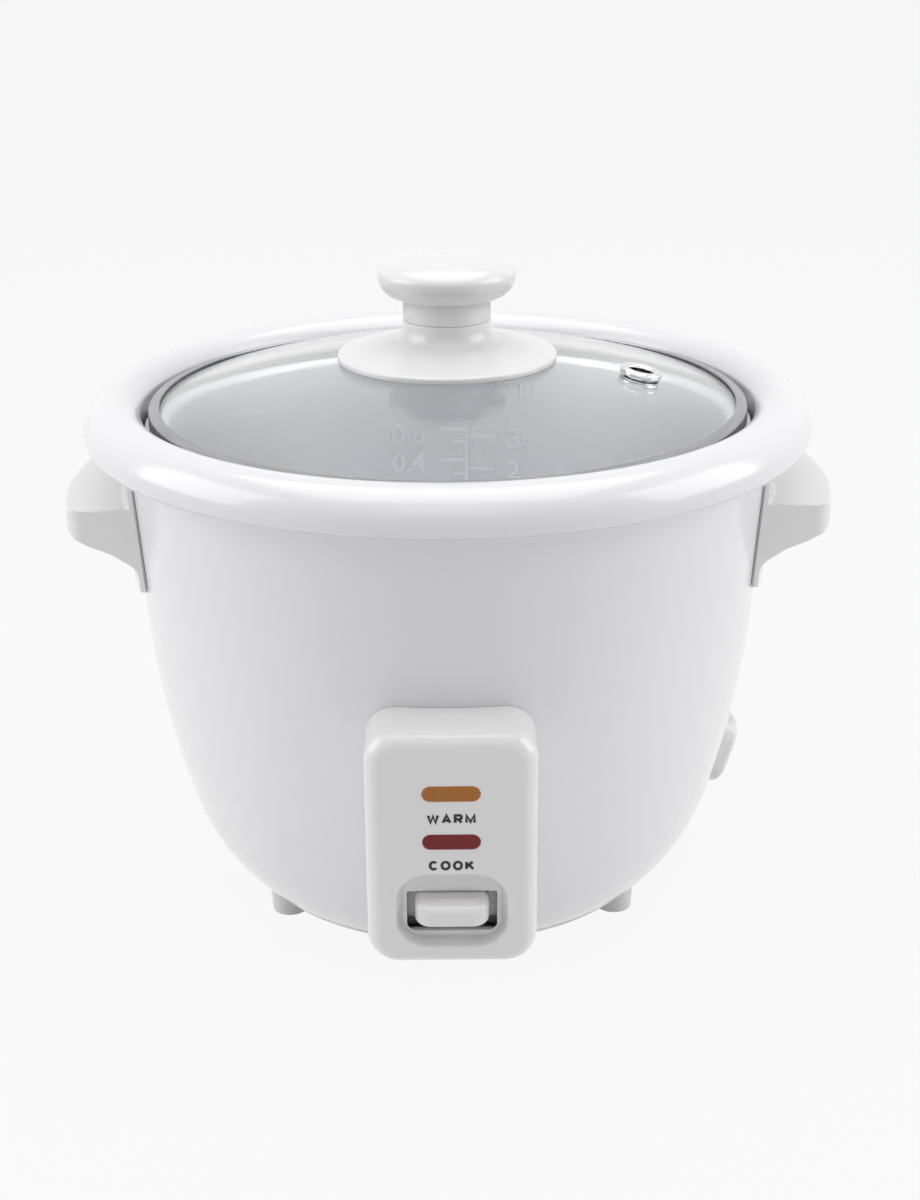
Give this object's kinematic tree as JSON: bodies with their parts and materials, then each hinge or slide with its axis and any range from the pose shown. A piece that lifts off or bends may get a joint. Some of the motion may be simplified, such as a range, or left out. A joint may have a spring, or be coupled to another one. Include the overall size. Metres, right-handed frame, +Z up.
{
  "type": "rice cooker",
  "caption": "White drum rice cooker with a lift-off glass lid, a lift-out aluminium pot, side handles, and a front switch box with warm and cook lamps and a press-down lever.",
  "frame": {"origin": "on the table under the middle of the drum", "axes": "+Z up along the drum's axis, +X towards the right handle, -Y out of the front switch box"},
  "size_m": [0.2348, 0.2235, 0.2051],
  "materials": {
    "white_paint": "glossy white enamel",
    "white_plastic": "glossy white moulding",
    "foot_plastic": "satin pale moulding",
    "clear_glass": "clear tempered glass",
    "stainless_band": "polished folded steel",
    "chrome_eyelet": "bright chrome",
    "pot_aluminium": "satin spun aluminium",
    "cast_aluminium": "turned cast aluminium",
    "amber_lens": "tinted ribbed lens",
    "red_lens": "tinted ribbed lens",
    "bulb_glass": "clear glass bulb",
    "zinc_steel": "zinc plated",
    "spring_steel": "drawn wire",
    "element_steel": "heat darkened sheath",
    "galvanised": "galvanised sheet",
    "ferrite": "sintered dark grey",
    "magnet_iron": "sintered magnet",
    "dark_plastic": "black moulding",
    "plunger_plastic": "red moulding",
    "silicone": "translucent white",
    "prong_brass": "bare brass",
    "fuse_ceramic": "glazed tube"
  },
  "bodies": {
    "base": {"bottom_cover": "galvanised", "cook_lamp_bulb": "bulb_glass", "cook_lamp_lens": "red_lens", "foot_front_left": "foot_plastic", "foot_front_right": "foot_plastic", "foot_rear": "foot_plastic", "foot_screws": "zinc_steel", "fuse_clip": "zinc_steel", "handle_left": "white_plastic", "handle_right": "white_plastic", "handle_screws": "zinc_steel", "heater_posts": "zinc_steel", "heating_element": "element_steel", "heating_plate": "cast_aluminium", "inlet_housing": "white_plastic", "inlet_pins": "prong_brass", "keep_warm_thermostat": "dark_plastic", "lamp_holder": "dark_plastic", "lamp_holder_screws": "zinc_steel", "lever_pivot_pin": "zinc_steel", "microswitch_body": "dark_plastic", "microswitch_screws": "zinc_steel", "outer_shell": "white_paint", "sensor_sleeve": "zinc_steel", "sensor_spring": "spring_steel", "sleeve_screws": "zinc_steel", "switch_box": "white_plastic", "switch_box_screws": "zinc_steel", "switch_frame": "zinc_steel", "switch_frame_screws": "zinc_steel", "thermal_fuse": "fuse_ceramic", "top_rim": "white_paint", "warm_lamp_bulb": "bulb_glass", "warm_lamp_lens": "amber_lens"},
    "pot": {"inner_pot": "pot_aluminium"},
    "lid": {"lid_glass": "clear_glass", "lid_rim_band": "stainless_band", "knob_grip": "white_plastic", "knob_seat": "white_plastic", "knob_washer": "silicone", "knob_screw": "zinc_steel", "steam_vent_eyelet": "chrome_eyelet"},
    "lever": {"lever_arm": "zinc_steel", "lever_paddle": "white_plastic"},
    "magnet": {"magnet_rod": "zinc_steel", "permanent_magnet": "magnet_iron", "release_spring": "spring_steel"},
    "sensor": {"sensor_cap": "cast_aluminium", "ferrite_core": "ferrite"},
    "plunger": {"microswitch_plunger": "plunger_plastic"}
  },
  "joints": [
    {"name": "pot_lift", "type": "slide", "parent": "base", "child": "pot", "axis": [0, 0, 1], "range_m": [0, 0.13]},
    {"name": "lid_lift", "type": "slide", "parent": "pot", "child": "lid", "axis": [0, 0, 1], "range_m": [0, 0.12]},
    {"name": "lever_press", "type": "hinge", "parent": "base", "child": "lever", "pos_m": [0, -0.058, 0.03928], "axis": [1, 0, 0], "range_deg": [0, 4.5], "stiffness_Nm_per_rad": 0.2, "springref_deg": -8.59},
    {"name": "magnet_lift", "type": "slide", "parent": "base", "child": "magnet", "axis": [0, 0, 1], "range_m": [0, 0.00445], "deforming": ["release_spring"]},
    {"name": "plunger_rise", "type": "slide", "parent": "base", "child": "plunger", "axis": [0, 0, 1], "range_m": [0, 0.00159], "stiffness_N_per_m": 0.05, "springref_m": 0.0118},
    {"name": "sensor_press", "type": "slide", "parent": "base", "child": "sensor", "axis": [0, 0, 1], "range_m": [-0.001, 0], "stiffness_N_per_m": 800, "springref_m": 0.003, "deforming": ["sensor_spring"]}
  ],
  "couplings": [
    {"joint": "lever_press", "follows": "magnet_lift", "rad_per_m": 17.241},
    {"joint": "plunger_rise", "follows": "magnet_lift", "ratio": 0.34483}
  ]
}
